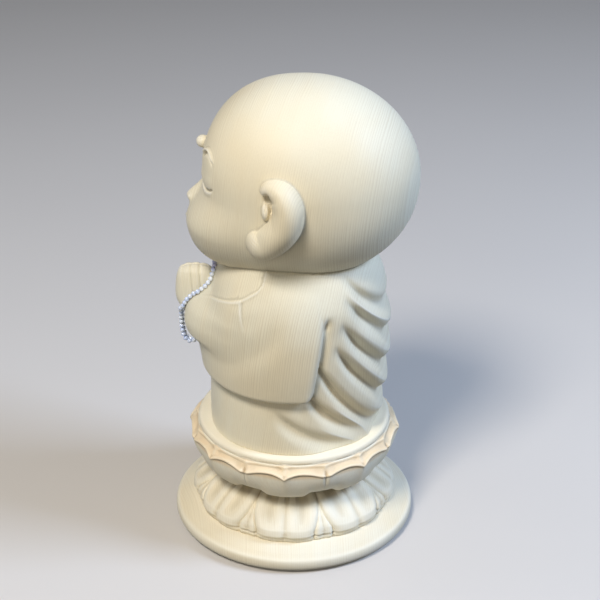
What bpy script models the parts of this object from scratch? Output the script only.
"""A standing Jizo carved in pale wood, on a lotus seat and a lotus foot, with a string of pearl beads.

Metres, +Z up. The figure looks along -Y and its left side is +X. The origin is at the centre of
the foot's underside. The figure, the seat and the foot are one block of wood each, and the beads
are one string.
"""
import math
from collections import namedtuple

import bmesh
import bpy
import numpy as np
from mathutils import Matrix, Vector
from mathutils.bvhtree import BVHTree

MM = 0.001
FULL_TURN = 2.0 * math.pi
SOFT_EDGE_ANGLE = math.radians(42.0)

# Fit between two pieces that stand on each other or touch.
FIT_GAP = 0.3 * MM

# The figure's own unit: its carving is given in shares of its height.
FIGURE_HEIGHT = 227.6 * MM
HEIGHT_IN_UNITS = 227.6
UNIT = FIGURE_HEIGHT / HEIGHT_IN_UNITS
ROBE_FOOT_RADIUS = 58.5

# Both lotuses have the same petals, one ring above the other. A place within a petal runs from 0 on
# its middle line to 1 on the line between two petals; a petal's own edge is at the place LOBE_EDGE,
# and the tip of the petal behind it shows from there to 1.
PETALS = 8
LOBE_EDGE = 0.86
PETAL_PLACES = (0.0, 0.14, 0.42, 0.70, LOBE_EDGE, 0.89, 1.0)

# Lotus foot: a round plate with a rounded edge, and petals that fold down over it.
FOOT_RADIUS = 80.4 * MM
FOOT_EDGE_HEIGHT = 10.8 * MM
FOOT_EDGE_ROUND = 3.8 * MM
FOOT_UNDERSIDE_INSET = 9.0 * MM
FOOT_PLATE_RISE = 4.2 * MM
FOOT_PETAL_INSET = 12.0 * MM
FOOT_PETAL_DROP = 7.0 * MM
FOOT_PETAL_UNDERCUT = 1.8 * MM
FOOT_PETAL_BULGE_SHARE = 0.6
FOOT_CROWN_RISE = 18.0 * MM
FOOT_SEAT_MARGIN = 2.0 * MM

# Foot petals by place, in millimetres: how far the edge draws in, and how deep the top is carved.
FOOT_EDGE_CUT = ((0.0, 1.4), (0.14, 0.25), (0.42, 0.0),
                 (0.70, 1.0), (LOBE_EDGE, 4.0), (0.89, 2.1), (1.0, 3.0))
FOOT_TOP_CUT = ((0.0, 0.7), (0.14, 0.05), (0.42, 1.1),
                (0.70, 0.05), (LOBE_EDGE, 1.5), (0.89, 1.55), (1.0, 1.8))

# Where a foot petal's edge lies, as a share of the half petal: at its tip, and at its root.
FOOT_LOBE_AT_TIP = 0.75
FOOT_LOBE_AT_ROOT = 0.97
FOOT_LOBE_BEND = 0.8

# How a foot petal's top rises to its root: a straight share, then a rounded one with its run and bend.
FOOT_DOME_STRAIGHT = 0.3
FOOT_DOME_RUN = 1.12
FOOT_DOME_BEND = 0.86
FOOT_DOME_SHARES = (0.06, 0.22, 0.46, 0.74)

# How the carving of a foot petal's top grows from its tip to its root.
FOOT_RELIEF = ((0.0, 0.15), (0.09, 0.25), (0.28, 1.0), (0.50, 1.0), (0.80, 0.6), (1.0, 0.1))

# Lotus seat: a bowl of petals on a neck, with a raised round top for the figure.
SEAT_NECK_RADIUS = 38.0 * MM
SEAT_NECK_HEIGHT = 4.0 * MM
SEAT_HEIGHT = 35.3 * MM
SEAT_TOP_MARGIN = 4.5 * MM
SEAT_TOP_STEP = 3.5 * MM
SEAT_BELLY_RADIUS = 59.5 * MM
SEAT_PETAL_SPREAD = 7.0 * MM
SEAT_LIP_BELOW_TOP = 7.4 * MM
SEAT_LIP_THICKNESS = 1.6 * MM
SEAT_SIDE_LOBE_INSET = 2.0 * MM
SEAT_INNER_MARGIN = 0.9 * MM
SEAT_TOP_ROUND = 2.6 * MM

# Seat petals by place, in millimetres: how far the lip draws in, how far it dips, how far the outer
# face draws in, and how far the inner scallops reach.
SEAT_RIM_CUT = ((0.0, 0.0), (0.14, 1.8), (0.42, 2.55), (0.70, 2.4), (LOBE_EDGE, 1.9), (0.89, 1.8), (1.0, 3.4))
SEAT_LIP_DIP = ((0.0, 3.0), (0.14, 1.1), (0.42, 0.0), (0.70, 1.0), (LOBE_EDGE, 2.0), (0.89, 2.15), (1.0, 3.8))
SEAT_FACE_CUT = ((0.0, 0.0), (0.14, 0.05), (0.42, 0.4),
                 (0.70, 0.2), (LOBE_EDGE, 0.1), (0.89, 0.1), (1.0, 0.7))
SEAT_INNER_WAVE = ((0.0, 2.3), (0.14, 0.6), (0.42, 0.0),
                   (0.70, 0.3), (LOBE_EDGE, 1.1), (0.89, 1.4), (1.0, 2.4))
SEAT_SIDE_LOBE_PLACES = (0.46, 0.74)

# String of beads.
BEAD_DIAMETER = 3.1 * MM
BEAD_CORD_RADIUS = 0.75 * MM
BEAD_SIDES = 5

# Levels of the three carved pieces.
SEAT_FLOOR = FOOT_EDGE_HEIGHT + FOOT_PLATE_RISE + FOOT_PETAL_DROP + FOOT_CROWN_RISE + FIT_GAP
FIGURE_FLOOR = SEAT_FLOOR + SEAT_HEIGHT + FIT_GAP

# Head, in units: a ball that is squarer in front, with full cheeks and jaw.
HEAD_CENTRE = (0.0, 8.0, 167.4)
HEAD_HALF_HEIGHT = HEIGHT_IN_UNITS - HEAD_CENTRE[2]
HEAD_HALF_WIDTH = 60.5
HEAD_BACK_DEPTH = 69.5
FOREHEAD_DEPTH = 64.2
CHEEK_DEPTH = 75.6
FOREHEAD_SQUARENESS = 2.3
JAW_SQUARENESS = 4.2
NAPE_SQUARENESS = 2.15
FACE_BLUNTNESS = 2.35
CHEEK_RISES = (0.06, 0.50)
SIDE_SQUARENESS_ABOVE = 2.1
SIDE_SQUARENESS_BELOW = 2.5

# Robe and sleeves, in units and degrees. A turn of -90 is the front, 0 the side and 90 the back.
ROBE_TOP_LEVEL = 126.0
ROBE_UNDERCUT = 6.0
HEM_LEVEL = 38.5
HEM_ROUNDING = 2.8
HEM_HOLLOW = 3.0
HEM_HOLLOW_REACH = 8.0
HEM_HOLLOW_END = (-6.0, 2.0)
SLEEVE_BACK_TURN = 16.0
SLEEVE_BACK_LEAN = 0.16
SLEEVE_EDGE_ROUNDING = 7.0
SLEEVE_EDGE_DROP = 0.5
SLEEVE_CORNER_RADIUS = 6.0
SLEEVE_SPLIT_DEPTH = 4.5
SLEEVE_SPLIT_TURN = 5.0
SLEEVE_SPLIT_REACH = (-2.0, 12.0)
SLEEVE_VALLEY_DEPTH = 1.5
SLEEVE_VALLEY_WIDTH_ABOVE = 13.0
SLEEVE_VALLEY_WIDTH_BELOW = 9.0
SLEEVE_VALLEY_START_TURNS = (-80.0, -44.0)
SLEEVE_VALLEY_END_TURNS = (-12.0, 6.0)

# How far the sleeves' front runs into the chest, and between which levels and turns it does.
CHEST_BLEND = 6.0
CHEST_BLEND_LEVELS = (72.0, 86.0)
CHEST_BLEND_TURNS = (10.0, 40.0)

# Turns between which the back, the front and the sleeves' front take over from the side.
BACK_TURNS = (5.0, 75.0)
FRONT_TURNS = (30.0, 85.0)
SLEEVE_FRONT_TURNS = (5.0, 72.0)
CUFF_TURNS = (44.0, 78.0)

# Robe radius by level at the back, the side and the front, and the same for the sleeves.
ROBE_BACK = ((0.0, 58.5), (12.0, 60.2), (30.0, 62.0), (55.0, 63.0), (78.0, 62.2), (97.0, 58.8),
             (108.0, 55.0), (116.0, 50.0), (126.0, 38.0))
ROBE_SIDE = ((0.0, 58.5), (36.0, 56.0), (60.0, 57.0), (80.0, 57.8), (96.0, 58.2), (106.0, 54.2),
             (114.0, 50.0), (121.0, 45.5), (126.0, 38.0))
ROBE_FRONT = ((0.0, 54.8), (36.0, 55.0), (80.0, 54.0), (92.0, 51.5), (108.0, 47.0), (116.0, 42.0),
              (126.0, 34.0))
SLEEVE_SIDE = ((38.0, 61.5), (50.0, 62.6), (68.0, 63.0), (82.0, 62.0), (94.0, 59.4), (107.0, 54.0),
               (114.0, 49.8), (121.0, 45.0), (126.0, 37.0))
SLEEVE_FRONT = ((38.0, 59.6), (48.0, 60.8), (58.0, 62.6), (66.0, 64.0), (76.0, 63.6), (82.0, 61.4),
                (90.0, 55.0), (98.0, 46.0), (110.0, 38.0), (126.0, 30.0))

# How far the cuff stands out in front by level, and the level of the sleeve's valley by turn.
CUFF = ((56.0, 0.0), (60.0, 0.8), (62.5, 3.2), (65.0, 5.2), (68.0, 5.9), (76.0, 6.0), (82.0, 5.0),
        (88.0, 2.2), (94.0, 0.0))
SLEEVE_VALLEY = ((-75.0, 55.0), (-57.0, 57.0), (-38.0, 60.0), (-20.0, 69.5), (-2.0, 84.0), (10.0, 92.0))

# Folds that hang across the back, as valleys: where each starts on the side, how low it runs at
# the back, how it bends on the way, and how deep it is cut.
Fold = namedtuple("Fold", "start_turn start_level back_level bend depth end_turn")
BACK_FOLDS = (
    Fold(43.0, 112.0, 86.0, 1.8, 4.4, 200.0),
    Fold(40.0, 100.0, 63.5, 1.25, 5.4, 200.0),
    Fold(36.0, 84.5, 41.5, 1.35, 6.0, 200.0),
    Fold(32.0, 69.5, 20.0, 1.35, 6.2, 200.0),
    Fold(19.0, 62.5, 3.0, 1.8, 5.4, 105.0),
    Fold(12.0, 42.0, 3.0, 2.3, 4.8, 68.0),
    Fold(-8.0, 27.0, -2.0, 2.5, 3.6, 56.0),
)
FOLD_WIDTH_ABOVE = 5.8
FOLD_WIDTH_BELOW = 8.4
FOLD_START_SHARE = 0.7
FOLD_START_TURNS = (-5.0, 13.0)
FOLD_END_TURNS = 36.0

# Ear, in units: the middle line of its rim from the top end to the lobe, as (Y, level, half width,
# height from the head).
EAR_RIM = (
    (-12.6, 176.4, 2.8, 4.0),
    (-8.6, 179.6, 5.0, 8.5),
    (-1.8, 177.0, 7.9, 12.0),
    (2.2, 168.2, 9.2, 13.5),
    (0.4, 157.6, 9.9, 13.5),
    (-6.2, 148.8, 10.0, 13.0),
    (-11.4, 144.6, 9.8, 12.2),
    (-15.6, 143.4, 9.8, 11.6),
)
EAR_LOBE_LENGTH = 8.0
EAR_LOBE_STEPS = 8
EAR_PATH_STEPS = 34
EAR_SIDES = 20
EAR_FOOT = 1.16
EAR_STAND = 0.9
EAR_BUMP_CENTRE = (-10.8, 166.2)
EAR_BUMP_HALF_SIZE = (5.0, 2.7, 6.0)

# Joined hands, in units, from the sleeves up: (level, front, back, half of both thicknesses).
HAND_ROWS = (
    (62.0, -64.0, -48.0, 8.0),
    (68.0, -67.5, -48.6, 8.8),
    (73.0, -71.6, -49.4, 9.2),
    (77.5, -74.8, -50.0, 9.2),
    (82.0, -76.2, -50.4, 9.1),
    (88.0, -76.2, -51.0, 8.7),
    (94.0, -75.0, -51.6, 8.0),
    (97.5, -73.2, -52.2, 7.2),
    (100.0, -70.8, -53.0, 6.2),
    (101.8, -68.2, -54.6, 4.8),
    (102.8, -65.8, -57.0, 3.4),
    (103.3, -64.0, -60.0, 1.6),
)
HAND_STEPS = 30
HAND_SIDES = 32
HAND_SQUARENESS = 2.7
THUMB_CENTRE = (4.6, -52.6, 86.0)
THUMB_HALF_SIZE = (3.6, 3.2, 12.0)
THUMB_SQUARENESS = 2.2
THUMB_LEAN = 8.0

# Small forms of the face, in units.
BOSS_CENTRE = (0.0, -56.1, 186.0)
BOSS_RADIUS = 4.0
NOSE_LEVEL = 152.0
NOSE_HEIGHT = 5.7
NOSE_HALF_WIDTH = 4.6
NOSE_LENGTH_ABOVE = 7.2
NOSE_LENGTH_BELOW = 3.4
BRIDGE_LEVEL = 168.0
BRIDGE_HOLLOW = 1.3
BRIDGE_REACH = (40.0, 9.0)

# The face is carved where it looks forward: between these distances in front, and these levels.
FACE_DISTANCES = (10.0, 30.0)
FACE_LEVELS = (110.0, 116.0)

# Arcs of the mouth, the closed eyes and the brows: middle, half width, and how much the ends rise.
Arc = namedtuple("Arc", "x level half_width sag")
MOUTH = Arc(0.0, 136.5, 7.5, 1.8)
EYE = Arc(28.0, 165.4, 10.5, 3.2)
BROW = Arc(28.0, 190.6, 9.0, -5.0)
ARC_END_SHARES = (0.75, 1.1)

# Ridges and grooves along each arc: (height, distance above the arc, half width).
LIPS = ((0.8, 2.2, 1.7), (0.8, -2.6, 1.9), (-1.3, 0.0, 1.0))
LID = ((0.9, 4.6, 4.2), (-1.3, 0.0, 1.1))
BROW_RIDGE = ((1.6, 0.0, 1.3), (-1.0, -2.4, 1.4))

# Surface steps for the carved block, in units, and its share of the triangles.
CARVE_STEP = 1.5
ROBE_SEGMENTS = 200
CARVE_SMOOTHING_REACH = 4.5
FIGURE_TRIANGLES = 4380
THINNING_GROUP = "thinning"
THINNING_FACTOR = 1.0
FINE_WEIGHT = 0.9

# Boxes of the hands, the face and an ear, in units, that keep a finer surface.
FINE_BOXES = (
    ((-1.0, -90.0, 65.0), (12.0, -50.0, 105.0)),
    ((-1.0, -90.0, 128.0), (50.0, -35.0, 192.0)),
    ((52.0, -25.0, 128.0), (90.0, 15.0, 188.0)),
)

Finish = namedtuple("Finish", "name colour roughness coat")
PALE_WOOD = Finish("pale_wood", (0.80, 0.70, 0.50), 0.46, 0.0)
SEAT_WOOD = Finish("seat_wood", (0.84, 0.71, 0.50), 0.44, 0.0)
FOOT_WOOD = Finish("foot_wood", (0.83, 0.73, 0.52), 0.44, 0.0)
PEARL = Finish("pearl", (0.74, 0.80, 0.90), 0.18, 0.6)


def clear_scene():
    """Remove whatever the scene holds."""
    for item in list(bpy.data.objects):
        bpy.data.objects.remove(item, do_unlink=True)


def make_material(finish):
    """Make the Principled material of one finish."""
    material = bpy.data.materials.new(finish.name)
    material.use_nodes = True
    shader = material.node_tree.nodes["Principled BSDF"]
    shader.inputs["Base Color"].default_value = (*finish.colour, 1.0)
    shader.inputs["Roughness"].default_value = finish.roughness
    shader.inputs["Metallic"].default_value = 0.0
    shader.inputs["Coat Weight"].default_value = finish.coat
    return material


def place_object(name, mesh, finish):
    """Link a mesh as a named object with its finish, shaded smooth."""
    mesh.name = name
    mesh.materials.clear()
    mesh.materials.append(make_material(finish))
    mesh.shade_smooth()
    mesh.set_sharp_from_angle(angle=SOFT_EDGE_ANGLE)
    item = bpy.data.objects.new(name, mesh)
    bpy.context.scene.collection.objects.link(item)
    return item


def smooth_step(low, high, value):
    """Rise from 0 at low to 1 at high, level at both ends."""
    share = np.clip((value - low) / (high - low), 0.0, 1.0)
    return share * share * (3.0 - 2.0 * share)


def soft_bump(distance):
    """Bell of height 1 at distance 0."""
    return np.exp(-distance * distance)


def curve_value(points, at):
    """Read a smooth curve through (place, value) points, level beyond its ends."""
    places = np.array([point[0] for point in points])
    values = np.array([point[1] for point in points])
    slopes = np.gradient(values, places)
    at = np.clip(at, places[0], places[-1])
    index = np.clip(np.searchsorted(places, at, side="right") - 1, 0, len(places) - 2)
    span = places[index + 1] - places[index]
    share = (at - places[index]) / span
    square = share * share
    cube = square * share
    return ((2.0 * cube - 3.0 * square + 1.0) * values[index]
            + (cube - 2.0 * square + share) * span * slopes[index]
            + (3.0 * square - 2.0 * cube) * values[index + 1]
            + (cube - square) * span * slopes[index + 1])


def route_points(points, steps):
    """Read a smooth route through points of any number of coordinates, evenly by point."""
    knots = np.arange(len(points), dtype=float)
    at = np.linspace(0.0, len(points) - 1.0, steps)
    columns = []
    for axis in range(len(points[0])):
        pairs = [(knot, point[axis]) for knot, point in zip(knots, points)]
        columns.append(curve_value(pairs, at))
    return np.stack(columns, axis=1)


def mesh_points(mesh):
    """Read a mesh's points as an array."""
    flat = np.empty(len(mesh.vertices) * 3, dtype=np.float32)
    mesh.vertices.foreach_get("co", flat)
    return flat.reshape(-1, 3).astype(float)


def set_mesh_points(mesh, points):
    """Write an array back as a mesh's points."""
    mesh.vertices.foreach_set("co", points.astype(np.float32).ravel())
    mesh.update()


def next_ring(bm, ring, places):
    """Extrude a ring of points once, set the new ring on its places and return it."""
    wanted = set(ring)
    edges = [edge for edge in bm.edges if edge.verts[0] in wanted and edge.verts[1] in wanted]
    made = bmesh.ops.extrude_edge_only(bm, edges=edges)["geom"]
    fresh = {item for item in made if isinstance(item, bmesh.types.BMVert)}
    new_ring = []
    for point, place in zip(ring, places):
        twin = next(edge.other_vert(point) for edge in point.link_edges
                    if edge.other_vert(point) in fresh)
        twin.co = place
        new_ring.append(twin)
    return new_ring


def stacked_rings(bm, rings, closed=False):
    """Build one closed skin through a list of rings of equal count.

    The first and the last ring are capped, or joined to each other when closed is set.
    """
    start = bmesh.ops.create_circle(bm, cap_ends=not closed, segments=len(rings[0]), radius=1.0)
    ring = start["verts"]
    first = ring
    for point, place in zip(ring, rings[0]):
        point.co = place
    for places in rings[1:]:
        ring = next_ring(bm, ring, places)
    wanted = set(ring)
    last_edges = [edge for edge in bm.edges if edge.verts[0] in wanted and edge.verts[1] in wanted]
    if closed:
        opening = set(first)
        first_edges = [edge for edge in bm.edges
                       if edge.verts[0] in opening and edge.verts[1] in opening]
        bmesh.ops.bridge_loops(bm, edges=first_edges + last_edges)
    else:
        bmesh.ops.edgeloop_fill(bm, edges=last_edges)
    bmesh.ops.recalc_face_normals(bm, faces=bm.faces)


def turned_mesh(name, stations):
    """Turn a profile whose stations are functions of the petal place.

    A station gives the place that it really takes, the radius and the height.
    """
    bm = bmesh.new()
    rings = []
    half = math.pi / PETALS
    for station in stations:
        ring = []
        for petal in range(PETALS):
            for side, places in ((1.0, PETAL_PLACES), (-1.0, PETAL_PLACES[-2:0:-1])):
                for place in places:
                    taken, radius, height = station(place)
                    centre = 2.0 * (petal if side > 0.0 else petal + 1)
                    angle = half * (centre + side * taken)
                    ring.append(Vector((radius * math.cos(angle), radius * math.sin(angle), height)))
        rings.append(ring)
    stacked_rings(bm, rings)
    mesh = bpy.data.meshes.new(name)
    bm.to_mesh(mesh)
    bm.free()
    return mesh


def plain_station(radius, height):
    """Station of a profile that is the same all round."""
    return lambda place: (place, radius, height)


def foot_place(place, share):
    """Place that a foot petal's line takes at a share of the way from its tip to its root."""
    widening = math.sin(0.5 * math.pi * share) ** FOOT_LOBE_BEND
    edge = FOOT_LOBE_AT_TIP + (FOOT_LOBE_AT_ROOT - FOOT_LOBE_AT_TIP) * widening
    if place <= LOBE_EDGE:
        return edge * place / LOBE_EDGE
    return edge + (1.0 - edge) * (place - LOBE_EDGE) / (1.0 - LOBE_EDGE)


def lotus_foot():
    """Build the foot: plate, rounded edge, undercut band and the ring of folded petals."""
    plate_top = FOOT_EDGE_HEIGHT + FOOT_PLATE_RISE
    tip_level = plate_top + FOOT_PETAL_DROP
    crown = SEAT_FLOOR - FIT_GAP
    tip_radius = FOOT_RADIUS - FOOT_PETAL_INSET
    seat_radius = SEAT_NECK_RADIUS + FOOT_SEAT_MARGIN

    def petal_wall(height, inset):
        def station(place):
            cut = curve_value(FOOT_EDGE_CUT, place) * MM
            return foot_place(place, 0.0), tip_radius - inset - cut, height
        return station

    def dome(share):
        def station(place):
            cut = curve_value(FOOT_TOP_CUT, place) * MM * curve_value(FOOT_RELIEF, share)
            radius = tip_radius - curve_value(FOOT_EDGE_CUT, place) * MM * (1.0 - share)
            radius = radius + (seat_radius - tip_radius) * share
            rounded = math.sin(0.5 * math.pi * min(1.0, share * FOOT_DOME_RUN)) ** FOOT_DOME_BEND
            rise = FOOT_DOME_STRAIGHT * share + (1.0 - FOOT_DOME_STRAIGHT) * rounded
            height = tip_level + (crown - tip_level) * rise - 0.85 * cut
            return foot_place(place, min(1.0, 1.6 * share)), radius - 0.5 * cut, height
        return station

    stations = [
        plain_station(FOOT_RADIUS - FOOT_UNDERSIDE_INSET, 0.0),
        plain_station(FOOT_RADIUS - 0.38 * FOOT_UNDERSIDE_INSET, 0.33 * FOOT_EDGE_HEIGHT),
        plain_station(FOOT_RADIUS, 0.62 * FOOT_EDGE_HEIGHT),
        plain_station(FOOT_RADIUS - 0.3 * FOOT_EDGE_ROUND, 0.86 * FOOT_EDGE_HEIGHT),
        plain_station(FOOT_RADIUS - FOOT_EDGE_ROUND, FOOT_EDGE_HEIGHT),
        petal_wall(plate_top, FOOT_PETAL_UNDERCUT),
        petal_wall(plate_top + FOOT_PETAL_BULGE_SHARE * FOOT_PETAL_DROP, 0.0),
        *(dome(share) for share in FOOT_DOME_SHARES),
        plain_station(seat_radius, crown),
    ]
    return place_object("lotus_foot", turned_mesh("lotus_foot", stations), FOOT_WOOD)


def lotus_seat():
    """Build the seat: neck, underside, petals with a thin waved lip, and the round top."""
    top = SEAT_FLOOR + SEAT_HEIGHT
    top_radius = ROBE_FOOT_RADIUS * UNIT + SEAT_TOP_MARGIN
    rim = top_radius + SEAT_PETAL_SPREAD
    lip = top - SEAT_LIP_BELOW_TOP
    step = top - SEAT_TOP_STEP
    underside = SEAT_FLOOR + SEAT_NECK_HEIGHT

    def rim_radius(place):
        return rim - curve_value(SEAT_RIM_CUT, place) * MM

    def lip_level(place):
        return lip - curve_value(SEAT_LIP_DIP, place) * MM

    def outer(share, rise):
        def station(place):
            aside = SEAT_SIDE_LOBE_INSET * smooth_step(*SEAT_SIDE_LOBE_PLACES, place)
            low_radius = SEAT_BELLY_RADIUS - aside
            low_level = underside + 0.5 * SEAT_LIP_THICKNESS + aside
            drawn_in = (rim - rim_radius(place) - SEAT_LIP_THICKNESS) * share ** 4
            radius = low_radius + (rim - SEAT_LIP_THICKNESS - low_radius) * share - drawn_in
            level = low_level + (lip_level(place) - SEAT_LIP_THICKNESS - low_level) * rise
            return place, radius - curve_value(SEAT_FACE_CUT, place) * MM * (1.0 - share), level
        return station

    def lip_edge(place):
        round_over = 0.3 * SEAT_LIP_THICKNESS
        return place, rim_radius(place) + round_over, lip_level(place) - round_over

    def lip_inner(place):
        wave = curve_value(SEAT_INNER_WAVE, place) * MM
        return place, top_radius + SEAT_INNER_MARGIN + wave, step - 0.75 * SEAT_LIP_THICKNESS

    stations = [
        plain_station(SEAT_NECK_RADIUS, SEAT_FLOOR),
        plain_station(SEAT_NECK_RADIUS, underside),
        plain_station(SEAT_BELLY_RADIUS - SEAT_NECK_HEIGHT - SEAT_SIDE_LOBE_INSET, underside),
        outer(0.0, 0.0),
        outer(0.32, 0.18),
        outer(0.72, 0.56),
        outer(1.0, 1.0),
        lip_edge,
        lip_inner,
        plain_station(top_radius, step),
        plain_station(top_radius - 0.3 * SEAT_TOP_ROUND, top - 0.4 * SEAT_TOP_ROUND),
        plain_station(top_radius - SEAT_TOP_ROUND, top),
    ]
    return place_object("lotus_seat", turned_mesh("lotus_seat", stations), SEAT_WOOD)


def fold_cut(turn, level):
    """Depth of the hanging folds at a turn in degrees and a level in units."""
    cut = np.zeros_like(level)
    for fold in BACK_FOLDS:
        share = np.clip((turn - fold.start_turn) / (90.0 - fold.start_turn), 0.0, 1.0)
        valley = fold.back_level + (fold.start_level - fold.back_level) * (1.0 - share) ** fold.bend
        away = level - valley
        width = np.where(away > 0.0, FOLD_WIDTH_ABOVE, FOLD_WIDTH_BELOW)
        width = width * (FOLD_START_SHARE + (1.0 - FOLD_START_SHARE) * share)
        present = (smooth_step(*FOLD_START_TURNS, turn - fold.start_turn)
                   * (1.0 - smooth_step(-FOLD_END_TURNS, 0.0, turn - fold.end_turn)))
        cut = np.maximum(cut, fold.depth * present * soft_bump(away / width))
    return cut


def robe_radius(turn, level):
    """Radius of the robe without its sleeves."""
    behind = smooth_step(*BACK_TURNS, turn)
    ahead = smooth_step(*FRONT_TURNS, -turn)
    side = curve_value(ROBE_SIDE, level)
    radius = side + (curve_value(ROBE_BACK, level) - side) * behind
    radius = radius + (curve_value(ROBE_FRONT, level) - side) * ahead
    return radius - fold_cut(turn, level)


def sleeve_back_edge(level):
    """Turn of the sleeve's back edge at a level."""
    return SLEEVE_BACK_TURN + SLEEVE_BACK_LEAN * (level - HEM_LEVEL)


def sleeve_radius(turn, level):
    """Radius of the sleeves, and whether a place is on the sleeve."""
    side = curve_value(SLEEVE_SIDE, level)
    ahead = smooth_step(*SLEEVE_FRONT_TURNS, -turn)
    radius = side + (curve_value(SLEEVE_FRONT, level) - side) * ahead
    radius = radius + curve_value(CUFF, level) * smooth_step(*CUFF_TURNS, -turn)
    away = level - curve_value(SLEEVE_VALLEY, turn)
    valley = soft_bump(away / np.where(away > 0.0, SLEEVE_VALLEY_WIDTH_ABOVE, SLEEVE_VALLEY_WIDTH_BELOW))
    valley = valley * smooth_step(*SLEEVE_VALLEY_START_TURNS, turn)
    radius = radius - SLEEVE_VALLEY_DEPTH * valley * (1.0 - smooth_step(*SLEEVE_VALLEY_END_TURNS, turn))
    up = level - HEM_LEVEL
    inside = np.radians(sleeve_back_edge(level) - turn) * radius
    corner = SLEEVE_CORNER_RADIUS - np.hypot(SLEEVE_CORNER_RADIUS - up, SLEEVE_CORNER_RADIUS - inside)
    in_corner = (up < SLEEVE_CORNER_RADIUS) & (inside < SLEEVE_CORNER_RADIUS)
    margin = np.where(in_corner, corner, np.minimum(up, inside))
    beside = smooth_step(-HEM_ROUNDING, HEM_ROUNDING, up - inside)
    rounding = HEM_ROUNDING + (SLEEVE_EDGE_ROUNDING - HEM_ROUNDING) * beside
    edge = np.clip(margin / rounding, 0.0, 1.0)
    radius = radius - rounding * SLEEVE_EDGE_DROP * (1.0 - np.sqrt(1.0 - (1.0 - edge) ** 2))
    split = soft_bump((90.0 + turn) / SLEEVE_SPLIT_TURN) * smooth_step(*SLEEVE_SPLIT_REACH, level - HEM_LEVEL)
    return radius - SLEEVE_SPLIT_DEPTH * split, margin > 0.0


def block_radius(turn, level):
    """Radius of the whole robe with its sleeves, hollowed under the hem and rounded over the chest."""
    robe = robe_radius(turn, level)
    below = np.clip(HEM_LEVEL - level, 0.0, None)
    covered = (level <= HEM_LEVEL) * (1.0 - smooth_step(*HEM_HOLLOW_END, turn - sleeve_back_edge(level)))
    robe = robe - HEM_HOLLOW * np.exp(-below / HEM_HOLLOW_REACH) * covered
    sleeve, present = sleeve_radius(turn, level)
    blend = CHEST_BLEND * smooth_step(*CHEST_BLEND_LEVELS, level) * smooth_step(*CHEST_BLEND_TURNS, -turn)
    joined = 0.5 * (sleeve + robe + np.sqrt((sleeve - robe) ** 2 + blend * blend))
    return np.where(present, joined, robe)


def add_robe(bm):
    """Add the robe: a finely divided drum, moved out to the robe's radius."""
    depth = ROBE_TOP_LEVEL + ROBE_UNDERCUT
    made = bmesh.ops.create_cone(bm, cap_ends=True, segments=ROBE_SEGMENTS, radius1=1.0, radius2=1.0,
                                 depth=depth)
    upright = {edge for point in made["verts"] for edge in point.link_edges
               if abs(edge.verts[0].co.z - edge.verts[1].co.z) > 1.0}
    bmesh.ops.subdivide_edges(bm, edges=list(upright), cuts=int(depth / CARVE_STEP), use_grid_fill=True)
    points = np.array([vert.co for vert in bm.verts])
    levels = points[:, 2] + 0.5 * depth - ROBE_UNDERCUT
    turns = np.degrees(np.arctan2(points[:, 1], np.abs(points[:, 0])))
    radii = block_radius(turns, np.maximum(levels, 0.0))
    for vert, radius, level in zip(bm.verts, radii, levels):
        flat = Vector((vert.co.x, vert.co.y)).normalized() * radius
        vert.co = (flat.x, flat.y, level)


def add_pillow(bm, centre, half_size, power, tilt=0.0):
    """Add a rounded block: a ball whose outline gets squarer with a higher power."""
    made = bmesh.ops.create_uvsphere(bm, u_segments=36, v_segments=24, radius=1.0)
    lean = Matrix.Rotation(math.radians(tilt), 3, "X")
    for vert in made["verts"]:
        size = sum(abs(part) ** power for part in vert.co) ** (1.0 / power)
        shaped = Vector(part / size * half for part, half in zip(vert.co, half_size))
        vert.co = Vector(centre) + lean @ shaped


def head_shape(way):
    """Point of the head's plain surface in a direction, in units."""
    rise = way[:, 2]
    around = np.hypot(way[:, 0], way[:, 1])
    around = np.where(around < 1e-9, 1.0, around)
    side = way[:, 0] / around
    ahead = way[:, 1] / around
    high = np.clip(np.abs(rise), 0.0, 1.0)
    nape = np.where(rise > 0.0, 2.0, NAPE_SQUARENESS)
    back = HEAD_BACK_DEPTH * (1.0 - high ** nape) ** (1.0 / nape)
    upper = FOREHEAD_DEPTH * (1.0 - high ** FOREHEAD_SQUARENESS) ** (1.0 / FOREHEAD_SQUARENESS)
    cheek = FOREHEAD_DEPTH + (CHEEK_DEPTH - FOREHEAD_DEPTH) * smooth_step(*CHEEK_RISES, -rise)
    lower = cheek * (1.0 - high ** JAW_SQUARENESS) ** (1.0 / JAW_SQUARENESS)
    front = np.where(rise > 0.0, upper, lower)
    wide_upper = (1.0 - high ** SIDE_SQUARENESS_ABOVE) ** (1.0 / SIDE_SQUARENESS_ABOVE)
    wide_lower = (1.0 - high ** SIDE_SQUARENESS_BELOW) ** (1.0 / SIDE_SQUARENESS_BELOW)
    width = HEAD_HALF_WIDTH * np.where(rise > 0.0, wide_upper, wide_lower)
    power = np.where(ahead < 0.0, FACE_BLUNTNESS, 2.0)
    norm = np.maximum(np.abs(side) ** power + np.abs(ahead) ** power, 1e-9) ** (1.0 / power)
    depth = np.where(ahead < 0.0, front, back)
    return np.stack([HEAD_CENTRE[0] + width * side / norm,
                     HEAD_CENTRE[1] + depth * ahead / norm,
                     HEAD_CENTRE[2] + HEAD_HALF_HEIGHT * rise], axis=1)


def add_head(bm):
    """Add the head's ball."""
    made = bmesh.ops.create_uvsphere(bm, u_segments=128, v_segments=96, radius=1.0)
    way = np.array([vert.co.normalized() for vert in made["verts"]])
    for vert, place in zip(made["verts"], head_shape(way)):
        vert.co = place


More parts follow.
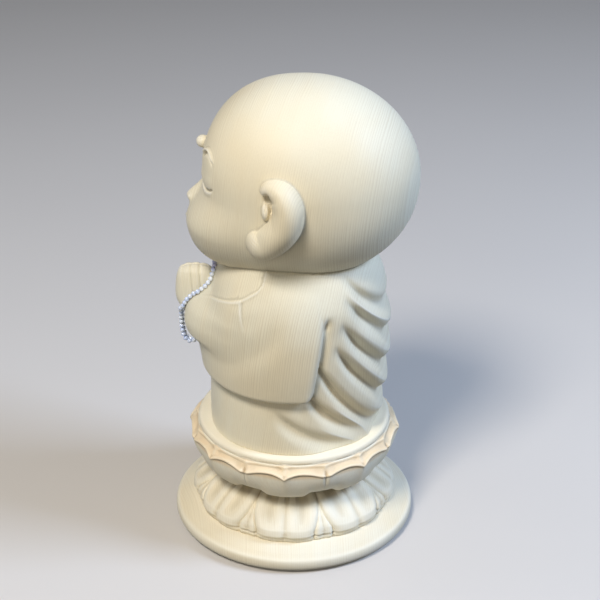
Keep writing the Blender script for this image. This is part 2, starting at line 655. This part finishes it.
def add_skin(bm, rings):
    """Add a closed skin through rings of equal count to the block."""
    part = bmesh.new()
    stacked_rings(part, rings)
    mesh = bpy.data.meshes.new("skin")
    part.to_mesh(mesh)
    part.free()
    bm.from_mesh(mesh)
    bpy.data.meshes.remove(mesh)


def head_side(y, level):
    """Half width of the head at a place on its side, in units."""
    rise = (level - HEAD_CENTRE[2]) / HEAD_HALF_HEIGHT
    squareness = SIDE_SQUARENESS_ABOVE if rise > 0.0 else SIDE_SQUARENESS_BELOW
    width = HEAD_HALF_WIDTH * (1.0 - abs(rise) ** squareness) ** (1.0 / squareness)
    depth = HEAD_BACK_DEPTH if y > HEAD_CENTRE[1] else FOREHEAD_DEPTH
    return width * math.sqrt(1.0 - ((y - HEAD_CENTRE[1]) / depth) ** 2)


def add_ear(bm, side):
    """Add one ear: a thick rim swept along its line, ending in a round lobe."""
    route = route_points(EAR_RIM, EAR_PATH_STEPS)
    forward = (route[-1] - route[-2])[:2]
    forward = EAR_LOBE_LENGTH * forward / np.linalg.norm(forward)
    turns = np.linspace(0.0, 0.5 * math.pi, EAR_LOBE_STEPS)[1:-1]
    last = route[-1]
    lobe = [[*(last[:2] + forward * math.sin(turn)), *(last[2:] * math.cos(turn))] for turn in turns]
    route = np.concatenate([route, lobe])
    rings = []
    for index, (y, level, half_width, height) in enumerate(route):
        before = route[max(index - 1, 0)]
        after = route[min(index + 1, len(route) - 1)]
        along = Vector((0.0, after[0] - before[0], after[1] - before[1])).normalized()
        across = Vector((0.0, -along.z, along.y))
        middle = Vector((head_side(y, level) + EAR_FOOT, y, level))
        ring = []
        for step in range(EAR_SIDES):
            angle = FULL_TURN * step / EAR_SIDES
            out = Vector((height * EAR_STAND * math.sin(angle), 0.0, 0.0))
            place = middle + across * (half_width * math.cos(angle)) + out
            ring.append(Vector((side * place.x, place.y, place.z)))
        rings.append(ring)
    add_skin(bm, rings)
    y, level = EAR_BUMP_CENTRE
    add_pillow(bm, (side * (head_side(y, level) + 0.25 * EAR_BUMP_HALF_SIZE[0]), y, level),
               EAR_BUMP_HALF_SIZE, 2.0)


def add_hands(bm):
    """Add the joined palms with their fingers, and a thumb on each side."""
    rings = []
    for level, front, back, half in route_points(HAND_ROWS, HAND_STEPS):
        ring = []
        for step in range(HAND_SIDES):
            angle = FULL_TURN * step / HAND_SIDES
            side, ahead = math.cos(angle), math.sin(angle)
            norm = (abs(side) ** HAND_SQUARENESS + abs(ahead) ** HAND_SQUARENESS) ** (1.0 / HAND_SQUARENESS)
            y = 0.5 * (front + back) + 0.5 * (back - front) * ahead / norm
            ring.append(Vector((half * side / norm, y, level)))
        rings.append(ring)
    add_skin(bm, rings)
    for side in (-1.0, 1.0):
        thumb = (side * THUMB_CENTRE[0], THUMB_CENTRE[1], THUMB_CENTRE[2])
        add_pillow(bm, thumb, THUMB_HALF_SIZE, THUMB_SQUARENESS, THUMB_LEAN)


def evaluated_copy(item):
    """Read an object with its modifiers as a new mesh, and remove the object."""
    graph = bpy.context.evaluated_depsgraph_get()
    mesh = bpy.data.meshes.new_from_object(item.evaluated_get(graph))
    bpy.data.objects.remove(item, do_unlink=True)
    return mesh


def worked_mesh(mesh, modifiers, weights=None):
    """Apply a list of (type, settings) modifiers to a mesh and return the result.

    The weights, one to a point, go into the group that a modifier may name as its vertex group.
    """
    item = bpy.data.objects.new("work", mesh)
    bpy.context.scene.collection.objects.link(item)
    if weights is not None:
        group = item.vertex_groups.new(name=THINNING_GROUP)
        for weight in np.unique(weights):
            group.add(np.nonzero(weights == weight)[0].tolist(), float(weight), "REPLACE")
    for kind, settings in modifiers:
        modifier = item.modifiers.new(kind.lower(), kind)
        for name, value in settings.items():
            setattr(modifier, name, value)
    return evaluated_copy(item)


def carved_arc(x, level, arc, profile):
    """Height of the ridges and grooves that follow a shallow arc."""
    share = (x - arc.x) / arc.half_width
    above = level - arc.level - arc.sag * share * share
    within = 1.0 - smooth_step(*ARC_END_SHARES, np.abs(share))
    return within * sum(height * soft_bump((above - away) / half) for height, away, half in profile)


def carve_face(points):
    """Carve nose, mouth, closed eyes and brows into the block's points, in units."""
    x = np.abs(points[:, 0])
    level = points[:, 2]
    facing = smooth_step(*FACE_DISTANCES, -points[:, 1]) * smooth_step(*FACE_LEVELS, level)
    up = level - NOSE_LEVEL
    length = np.where(up > 0.0, NOSE_LENGTH_ABOVE, NOSE_LENGTH_BELOW)
    nose = NOSE_HEIGHT * soft_bump(x / NOSE_HALF_WIDTH) * soft_bump(up / length)
    aside, above = BRIDGE_REACH
    bridge = -BRIDGE_HOLLOW * soft_bump(x / aside) * soft_bump((level - BRIDGE_LEVEL) / above)
    mouth = carved_arc(x, level, MOUTH, LIPS)
    lid = carved_arc(x, level, EYE, LID)
    brow = carved_arc(x, level, BROW, BROW_RIDGE)
    points[:, 1] -= facing * (nose + bridge + mouth + lid + brow)


def thinning_weights(points):
    """Weight of each point for the thinning: less on the hands, the face and the ears."""
    at = np.abs(points)
    at[:, 1:] = points[:, 1:]
    fine = np.zeros(len(at), dtype=bool)
    for low, high in FINE_BOXES:
        fine |= ((at > low) & (at < high)).all(axis=1)
    return np.where(fine, FINE_WEIGHT, 1.0)


def figure_block():
    """Build the carved block of the figure in units: forms fused, smoothed, carved and thinned."""
    bm = bmesh.new()
    add_robe(bm)
    add_head(bm)
    for side in (-1.0, 1.0):
        add_ear(bm, side)
    add_hands(bm)
    add_pillow(bm, BOSS_CENTRE, (BOSS_RADIUS,) * 3, 2.0)
    mesh = bpy.data.meshes.new("block")
    bm.to_mesh(mesh)
    bm.free()
    mesh = worked_mesh(mesh, (
        ("REMESH", {"mode": "VOXEL", "voxel_size": CARVE_STEP}),
        ("SMOOTH", {"factor": 0.5, "iterations": round(CARVE_SMOOTHING_REACH / CARVE_STEP)}),
    ))
    points = mesh_points(mesh)
    carve_face(points)
    set_mesh_points(mesh, points)
    ratio = FIGURE_TRIANGLES / (2.0 * len(mesh.polygons))
    return worked_mesh(mesh, (
        ("DECIMATE", {"ratio": ratio, "use_symmetry": True, "symmetry_axis": "X",
                      "vertex_group": THINNING_GROUP, "vertex_group_factor": THINNING_FACTOR}),
    ), thinning_weights(points))


def cut_flat(mesh, level):
    """Cut a mesh flat below a level and close the cut."""
    bm = bmesh.new()
    bm.from_mesh(mesh)
    everything = bm.verts[:] + bm.edges[:] + bm.faces[:]
    bmesh.ops.bisect_plane(bm, geom=everything, dist=1e-5, plane_co=(0.0, 0.0, level),
                           plane_no=(0.0, 0.0, 1.0), clear_inner=True)
    rim = [edge for edge in bm.edges if edge.is_boundary]
    bmesh.ops.edgeloop_fill(bm, edges=rim)
    bmesh.ops.triangulate(bm, faces=bm.faces)
    bmesh.ops.recalc_face_normals(bm, faces=bm.faces)
    bm.to_mesh(mesh)
    bm.free()


def jizo_figure():
    """Build the figure at its real size, standing on the seat."""
    mesh = figure_block()
    cut_flat(mesh, 0.0)
    mesh.transform(Matrix.Translation((0.0, 0.0, FIGURE_FLOOR)) @ Matrix.Scale(UNIT, 4))
    return place_object("figure", mesh, PALE_WOOD)


# Route of the string on the left side, in units, from over the thumbs down the back of the hand to
# where the string closes between the sleeves: (X, Y, level).
BEAD_ROUTE = (
    (0.0, -44.6, 104.4),
    (4.0, -45.7, 103.7),
    (7.2, -47.4, 102.6),
    (9.6, -49.4, 99.8),
    (10.6, -52.0, 97.4),
    (10.8, -55.6, 92.6),
    (10.8, -59.4, 88.4),
    (10.8, -63.4, 84.8),
    (10.2, -67.6, 81.0),
    (8.0, -70.8, 77.0),
    (4.6, -72.6, 72.6),
    (2.6, -73.4, 67.6),
    (2.4, -73.5, 62.4),
    (2.4, -73.2, 57.0),
    (2.4, -72.0, 52.2),
    (2.4, -69.8, 48.8),
    (1.8, -66.6, 48.0),
    (0.0, -64.6, 49.4),
)


def string_of_beads(figure):
    """Build the string: one tube that swells at each bead, resting on the figure."""
    left = [Vector(point) for point in BEAD_ROUTE]
    right = [Vector((-point.x, point.y, point.z)) for point in reversed(left[1:-1])]
    loop = [Vector((p.x * UNIT, p.y * UNIT, p.z * UNIT + FIGURE_FLOOR)) for p in left + right]
    closed = np.array([tuple(point) for point in loop + loop[:1]])
    fine = route_points(closed, 60 * len(closed))
    tree = BVHTree.FromPolygons([vert.co[:] for vert in figure.data.vertices],
                                [face.vertices[:] for face in figure.data.polygons])
    fine = rest_on(fine, tree, 0.5 * BEAD_DIAMETER + FIT_GAP)
    length = np.concatenate([[0.0], np.cumsum(np.linalg.norm(np.diff(fine, axis=0), axis=1))])
    count = int(length[-1] / BEAD_DIAMETER)
    pitch = length[-1] / count
    at = np.arange(2 * count) * 0.5 * pitch
    middles = np.stack([np.interp(at, length, fine[:, axis]) for axis in range(3)], axis=1)
    middles = rest_on(middles, tree, 0.5 * BEAD_DIAMETER + FIT_GAP)
    rings = []
    for index, middle in enumerate(middles):
        along = Vector(middles[(index + 1) % len(middles)] - middles[index - 1]).normalized()
        across = along.cross(Vector((0.0, -0.35, 1.0)).cross(along)).normalized()
        lift = along.cross(across)
        radius = 0.5 * BEAD_DIAMETER if index % 2 == 0 else BEAD_CORD_RADIUS
        ring = []
        for step in range(BEAD_SIDES):
            angle = FULL_TURN * step / BEAD_SIDES
            ring.append(Vector(middle) + (across * math.cos(angle) + lift * math.sin(angle)) * radius)
        rings.append(ring)
    bm = bmesh.new()
    stacked_rings(bm, rings, closed=True)
    bmesh.ops.triangulate(bm, faces=bm.faces)
    mesh = bpy.data.meshes.new("prayer_beads")
    bm.to_mesh(mesh)
    bm.free()
    return place_object("prayer_beads", mesh, PEARL)


def rest_on(places, tree, clearance):
    """Push places away from a surface until each keeps its clearance."""
    rested = []
    for place in places:
        point = Vector(place)
        for _ in range(12):
            nearest, normal, _, distance = tree.find_nearest(point)
            away = point - nearest
            inside = away.dot(normal) < 0.0
            if not inside and distance >= clearance:
                break
            direction = normal if inside or distance < 1e-7 else away.normalized()
            point = nearest + direction * (clearance * 1.001)
        rested.append(tuple(point))
    return np.array(rested)


def main():
    """Build the four pieces."""
    clear_scene()
    lotus_foot()
    lotus_seat()
    figure = jizo_figure()
    string_of_beads(figure)


main()
